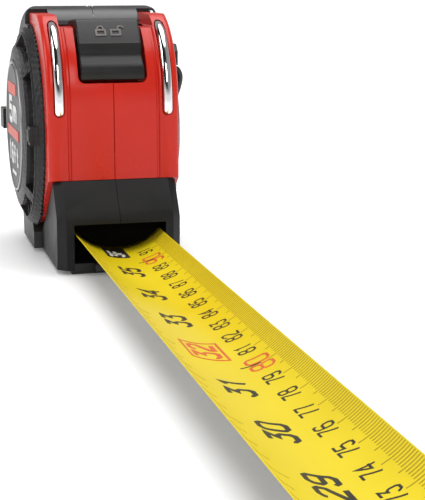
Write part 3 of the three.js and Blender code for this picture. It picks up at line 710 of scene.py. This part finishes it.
label_film = surface("label_film", (0.006, 0.006, 0.007), (0.010, 0.010, 0.011), (0.36, 0.44), 80, 1200, 0.02,
                     gloss=0.3)
ring_metal = surface("ring_metal", (0.30, 0.30, 0.31), (0.42, 0.42, 0.43), (0.3, 0.42), 200, 3000, 0.06, 1.0)
label_red = surface("label_red", (0.58, 0.045, 0.02), (0.66, 0.06, 0.025), (0.35, 0.45), 150, 1500, 0.05,
                    gloss=0.25)
label_white = surface("label_white", (0.62, 0.62, 0.62), (0.74, 0.74, 0.73), (0.3, 0.42), 150, 1500, 0.05)
label_back, label_r, ring_in, ring_out = 20.45, 17.9, 18.05, 18.95
for side, sign, face in (("left", -1, left_crown + 0.5), ("right", 1, right_crown + 0.1)):
    disc = turned([(0, label_back), (label_r, label_back), (label_r, face - 0.2), (label_r - 0.3, face),
                   (label_r - 0.7, face - 0.12), (0, face - 0.05)])
    ring = turned([(ring_in, label_back), (ring_out, label_back), (ring_out, face - 0.25),
                   (ring_out - 0.15, face - 0.05), (18.5, face + 0.05), (ring_in + 0.15, face - 0.05),
                   (ring_in, face - 0.25)])
    if sign < 0:
        disc, ring = mirror_copy(disc), mirror_copy(ring)
    settle(finish_mesh(disc, f"label_disc_{side}"), "case", "label", label_film, f"{side}_label")
    settle(finish_mesh(ring, f"label_rim_{side}"), "case", "ring_metal", ring_metal, f"{side}_ring")

    def on_label(u, v, lift, sign=sign, face=face):
        return sign * (face + lift), sign * u, reel_z + v

    reds = bmesh.new()
    whites = bmesh.new()
    bar_block(reds, -11, 9, 9.2, 12.4, on_label, 0.03, -0.2)
    write(whites, "5m", (0, 4.6), (6.6, 6.4), 1.7, on_label, 0.04, -0.2)
    bar_block(reds, -15, 13, -3.4, -0.6, on_label, 0.03, -0.2)
    write(whites, "16ft", (0, -8.2), (3.7, 5), 1.2, on_label, 0.04, -0.2)
    bar_block(whites, -5, 5, -14.2, -13.2, on_label, 0.03, -0.2)
    settle(finish_mesh(reds, f"label_bars_{side}"), "case", "label", label_red)
    settle(finish_mesh(whites, f"label_numbers_{side}"), "case", "label", label_white)


# ------------------------------------------------------------------ screws
# Bright pan-head steel screws with a cross recess: four draw the case together from the right, and two
# smaller ones hold the clip plate.
steel = surface("steel", (0.38, 0.38, 0.39), (0.55, 0.55, 0.56), (0.24, 0.36), 180, 1800, 0.1, 1.0,
                (1, 1, 12))


def screw(y, z, end, seat, head_r, head_h, shank_r):
    """A screw along X: its shank from end to seat, and the head on the seat."""
    top = seat + head_h
    shank = [(0, end), (shank_r * 0.6, end), (shank_r, end + 0.6), (shank_r, seat)]
    head = [(head_r - 0.15, seat), (head_r, seat + 0.15), (head_r, top - 0.5), (head_r - 0.25, top - 0.15),
            (head_r * 0.6, top), (0, top)]
    body = turned(shank + head, y, z, 32)
    arm, half = head_r * 0.6, head_r * 0.13
    return cut(body, block(top - 0.6, top + 1, y - arm, y + arm, z - half, z + half),
               block(top - 0.6, top + 1, y - half, y + half, z - arm, z + arm))


case_screws = [(-2.4, 67.35), (20.6, 59.4), (22.6, 15.6), (-24.9, 18.6)]
for i, (y, z) in enumerate(case_screws, 1):
    piece = finish_mesh(screw(y, z, -4, 16.6, 2.3, 1.3, 1.1), f"screw_{i}")
    settle(piece, "case", "steel", steel, f"case_screw_{i}")
for name, y in (("clip_screw_front", -1.2), ("clip_screw_rear", 8)):
    piece = finish_mesh(screw(y, 57.8, 21.55, 23.5, 1.9, 0.8, 1), f"{name}_head")
    settle(piece, "case", "steel", steel, name)


# ------------------------------------------------------------------ belt clip
# A black-coated spring wire bent to a long U on the right side, its two ends held under a plate.
def smooth_path(points, parts=6):
    """A Catmull-Rom curve through points."""
    points = [Vector(p) for p in points]
    padded = [2 * points[0] - points[1], *points, 2 * points[-1] - points[-2]]
    path = []
    for a, b, c, d in zip(padded, padded[1:], padded[2:], padded[3:]):
        for i in range(parts):
            t = i / parts
            path.append(0.5 * (2 * b + (c - a) * t + (2 * a - 5 * b + 4 * c - d) * t * t
                               + (3 * b - a - 3 * c + d) * t * t * t))
    return [*path, points[-1]]


front_leg_y, rear_leg_y = -7.4, 14.2
wire_r = 0.8
leg = [(22.6, 53.2), (24.0, 52.4), (24.7, 50.3), (24.2, 47.6), (23.1, 44), (22.6, 38), (22.6, 28),
       (22.7, 22)]
foot = [(23.2, -4.9, 17.4), (24.2, 0.4, 15.8), (24.2, 6.4, 15.8), (23.2, 11.7, 17.4)]
wire_path = [(x, front_leg_y, z) for x, z in leg] + foot + [(x, rear_leg_y, z) for x, z in reversed(leg)]
coated_wire = surface("clip_wire", grey(0.012), grey(0.03), (0.2, 0.35), 150, 2500, 0.08)
clip_wire = finish_mesh(tube(smooth_path(wire_path), wire_r, 14), "clip_spring_wire", 80)
settle(clip_wire, "clip", "clip_wire", coated_wire, "belt_clip")
y0, y1 = front_leg_y - 2.8, rear_leg_y + 2.8
holder = slab([(y0, 51.4), (y1, 51.4), (y1, 58), (y1 - 2, 60), (y0 + 2, 60), (y0, 58)], 21.45, 23.4)
wire_rooms = [block(20, 25, y - 1.6, y + 1.6, 50, 54.4) for y in (front_leg_y, rear_leg_y)]
screw_rooms = [slab(arc(y, 57.8, 1.15, 0, 345, 23), 20, 30) for y in (-1.2, 8)]
holder = cut(holder, *wire_rooms, *screw_rooms, slab(arc(0, reel_z, 20.25, 0, 355, 71), 20, 30))
holder_piece = soften(finish_mesh(holder, "clip_holder"), 0.3)
settle(holder_piece, "case", "black_plastic", black_plastic, "clip_plate")


# ------------------------------------------------------------------ reel
# Inside the case: the plastic drum and its two flanges with the wound blade between them. They turn on a
# fixed steel post, which the return spring in the drum is hooked to.
reel_grey = surface("reel_grey", (0.16, 0.16, 0.17), (0.24, 0.24, 0.25), (0.4, 0.55), 120, 1600, 0.15)
dress(reel_grey, "reel_drum", "reel_flange_left", "reel_flange_right")
dress(steel, "centre_post")
enamel, nodes, links, shader = new_material("blade_yellow")
shader.inputs["Specular IOR Level"].default_value = 0.45
cloud = object_noise(nodes, links, 45, 3)
tint(nodes, links, cloud, (0.73, 0.575, 0.007), (0.78, 0.615, 0.010), shader.inputs["Base Color"])
vary(nodes, links, cloud, 0.28, 0.38, shader.inputs["Roughness"])
add_bump(nodes, links, shader, object_noise(nodes, links, 260, 2, (1, 0.25, 1)), 0.06)
wound, nodes, links, shader = new_material("wound_blade")
turns = object_noise(nodes, links, 300, 2, (1, 0.1, 0.1))
tint(nodes, links, turns, (0.55, 0.42, 0.01), (0.8, 0.62, 0.012), shader.inputs["Base Color"])
vary(nodes, links, object_noise(nodes, links, 90), 0.3, 0.45, shader.inputs["Roughness"])
dress(wound, "blade_coil")
dress(enamel, "blade_inner")


# ------------------------------------------------------------------ blade
# The drawn length of yellow-enamelled steel strip, curved across so that it stands out stiffly, with its
# graduations: millimetres and centimetre numbers towards the right edge, inches down the middle and the left.
def blade_section(inside, outside, half, steps=24):
    """The strip's section between two radii, spread by half an angle to each side."""
    top = arc(0, blade_axis, inside, -90 - half, -90 + half, steps)
    return top + arc(0, blade_axis, outside, -90 + half, -90 - half, steps)


run_start, tip_start, tip_end = -25.3, -258, -271.2
strip_thick = 0.2
half_angle = 47.65


def on_blade(u, v, lift):
    """A point on the blade's hollow face: u is the place along it and v the distance to the left."""
    angle = -v / blade_r
    return (blade_r - lift) * sin(angle), u, blade_axis - (blade_r - lift) * cos(angle)


def shorten(piece):
    """Gives the piece a mesh of its own."""
    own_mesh(piece)


strip_outline = blade_section(blade_r, blade_r + strip_thick, half_angle)
strip = finish_mesh(plank(strip_outline, tip_start + 0.3, run_start), "blade_strip", 50)
settle(strip, "case", "blade_yellow", enamel, "blade_run")
# Painted shade: the underside and the faces that lean down are dark grey-olive rather than the yellow the
# real blade has there, so that they send no yellow light into the shadow below.
underside = surface("blade_underside", (0.20, 0.19, 0.15), (0.28, 0.27, 0.22), (0.3, 0.4), 45, 900, 0.05)
strip.data.materials.append(underside)
for face in strip.data.polygons:
    face.material_index = int(face.normal.z < -0.2)
shorten(strip)

lift, sunk = 0.03, -0.03
edge = 13.2
metric_zero = -957.59
inch_zero = -956.68
black_print, red_print, white_print, fine_print = (bmesh.new() for _ in range(4))
for mark in range(701, 924):
    u = metric_zero + mark
    reach = {0: 5.4, 5: 4.5}.get(mark % 10, 3.6)
    ribbon(fine_print, [(u, -edge), (u, reach - edge)], 0.3, on_blade, lift, sunk)
for number in range(71, 92):
    u = metric_zero + 10 * number
    if number % 10 == 0:
        write(red_print, str(number), (u, -5.9), (2.9, 4.6), 0.6, on_blade, lift, sunk)
        ribbon(black_print, [(u, -6.2), (u, -1.9)], 0.4, on_blade, lift + 0.02, sunk)
    else:
        write(black_print, str(number), (u, -5.74), (1.8, 3.4), 0.48, on_blade, lift, sunk)
for quarter in range(27 * 4 + 3, 36 * 4 + 1):
    u = inch_zero + 25.4 * quarter / 4
    ribbon(fine_print, [(u, edge), (u, edge - (3.6 if quarter % 4 else 5))], 0.26, on_blade, lift, sunk)
stud_mark = 32
for inch in range(28, 36):
    u = inch_zero + 25.4 * inch
    ink_layer = red_print if inch == stud_mark else black_print
    write(ink_layer, str(inch), (u, 1.98), (3.6, 4.6), 0.95, on_blade, lift, sunk, 0.35)
    if inch == stud_mark:
        corners = [(u - 7.4, -1.6), (u + 5.2, -1.6), (u + 7.4, 5.6), (u - 5.2, 5.6), (u - 7.4, -1.6)]
        ribbon(red_print, corners, 0.5, on_blade, lift, sunk)
foot_mark = inch_zero + 25.4 * 36
bar_block(black_print, foot_mark - 7.5, foot_mark + 5, -1.3, 4.9, on_blade, lift, sunk)
write(white_print, "3F", (foot_mark - 2.2, 1.8), (3.0, 3.4), 0.8, on_blade, lift + 0.03, sunk)

black_ink = surface("black_ink", (0.018, 0.014, 0.008), (0.035, 0.028, 0.014), (0.35, 0.5), 300, 2500, 0.05)
fine_ink = surface("fine_ink", (0.36, 0.26, 0.010), (0.44, 0.32, 0.014), (0.35, 0.5), 300, 2500, 0.05)
red_ink = surface("red_ink", (0.60, 0.085, 0.02), (0.70, 0.13, 0.03), (0.35, 0.5), 300, 2500, 0.05)
white_ink = surface("white_ink", (0.62, 0.60, 0.50), (0.74, 0.72, 0.62), (0.35, 0.5), 300, 2500, 0.05)
layers = (("numbers", black_print, black_ink), ("red", red_print, red_ink), ("white", white_print, white_ink),
          ("marks", fine_print, fine_ink))
for name, bm, ink in layers:
    piece = finish_mesh(bm, f"graduations_{name}")
    settle(piece, "case", "blade_yellow", ink)
    shorten(piece)


# ------------------------------------------------------------------ blade tip, rivets and end hook
# The last stretch of the blade with its corners cut off, and the bent steel hook, free to slide a little on
# three rivets so that inside and outside measurements agree.
spots = [("rivet_left", -22, -264.4), ("rivet_middle", 0, -268.6), ("rivet_right", 22, -264.4)]


def on_strip(bm, angle, y):
    """Moves a piece drawn round the Z axis, with the blade's hollow face at Z = 0, to its place on it."""
    turn = Matrix.Rotation(radians(-angle), 4, "Y")
    place = Matrix.Translation((0, y, blade_axis)) @ turn @ Matrix.Translation((0, 0, -blade_r))
    bmesh.ops.transform(bm, matrix=place, verts=bm.verts)
    return bm


def upright(profile):
    """A piece turned about the Z axis; the profile is a list of (radius, z)."""
    bm = turned(profile, 0, 0, 24)
    bmesh.ops.rotate(bm, cent=(0, 0, 0), matrix=Matrix.Rotation(radians(-90), 3, "Y"), verts=bm.verts)
    return bm


tip = plank(strip_outline, tip_end, tip_start)
clipped = []
for s in (-1, 1):
    corner = [(s * 6, tip_end - 1, 0), (s * 14, tip_end - 1, 0), (s * 14, tip_end + 6, 0)]
    clipped.append(prism(corner, (0, 0, 30)))
holes = [on_strip(upright([(0, -3), (1.03, -3), (1.03, 3), (0, 3)]), angle, y) for _, angle, y in spots]
tip = cut(tip, *clipped, *holes)
settle(finish_mesh(tip, "blade_end", 50), "tip", "blade_yellow", enamel, "blade_tip")
for name, angle, y in spots:
    rivet = upright([(0, -1.88), (1.2, -1.88), (1.9, -1.65), (1.9, -1.24), (0.95, -1.24), (0.95, 0.25),
                     (2.1, 0.25), (2.05, 0.5), (1.6, 0.8), (0.9, 0.95), (0, 0.98)])
    settle(finish_mesh(on_strip(rivet, angle, y), f"{name}_head"), "tip", "steel", steel, name)

hook_y = -272
hook_float = 0.7
lip_half = [(9, 0), (9.9, 0.3), (10.2, 1.2), (10.2, 9.2), (8.8, 12)]
lip = plank([*lip_half, *((-x, z) for x, z in reversed(lip_half))], hook_y - 1.1, hook_y)
tongue = plank(blade_section(blade_r + 0.32, blade_r + 1.12, 31, 14), hook_y - 0.3, -260)
hook = cut(tongue, lip, operation="UNION")
for _, angle, y in spots:
    room = [(u, v, -4) for u, v in arc(0, 0, 1.07, 0, 180, 8)]
    room += [(u, v - hook_float, -4) for u, v in arc(0, 0, 1.07, 180, 360, 8)]
    hook = cut(hook, on_strip(prism(room, (0, 0, 8)), angle, y))
hook_steel = surface("hook_steel", (0.40, 0.40, 0.41), (0.58, 0.58, 0.59), (0.22, 0.36), 160, 1500, 0.12, 1.0,
                     (10, 1, 1))
settle(soften(finish_mesh(hook, "hook_plate"), 0.15), "hook", "hook_steel", hook_steel, "end_hook")
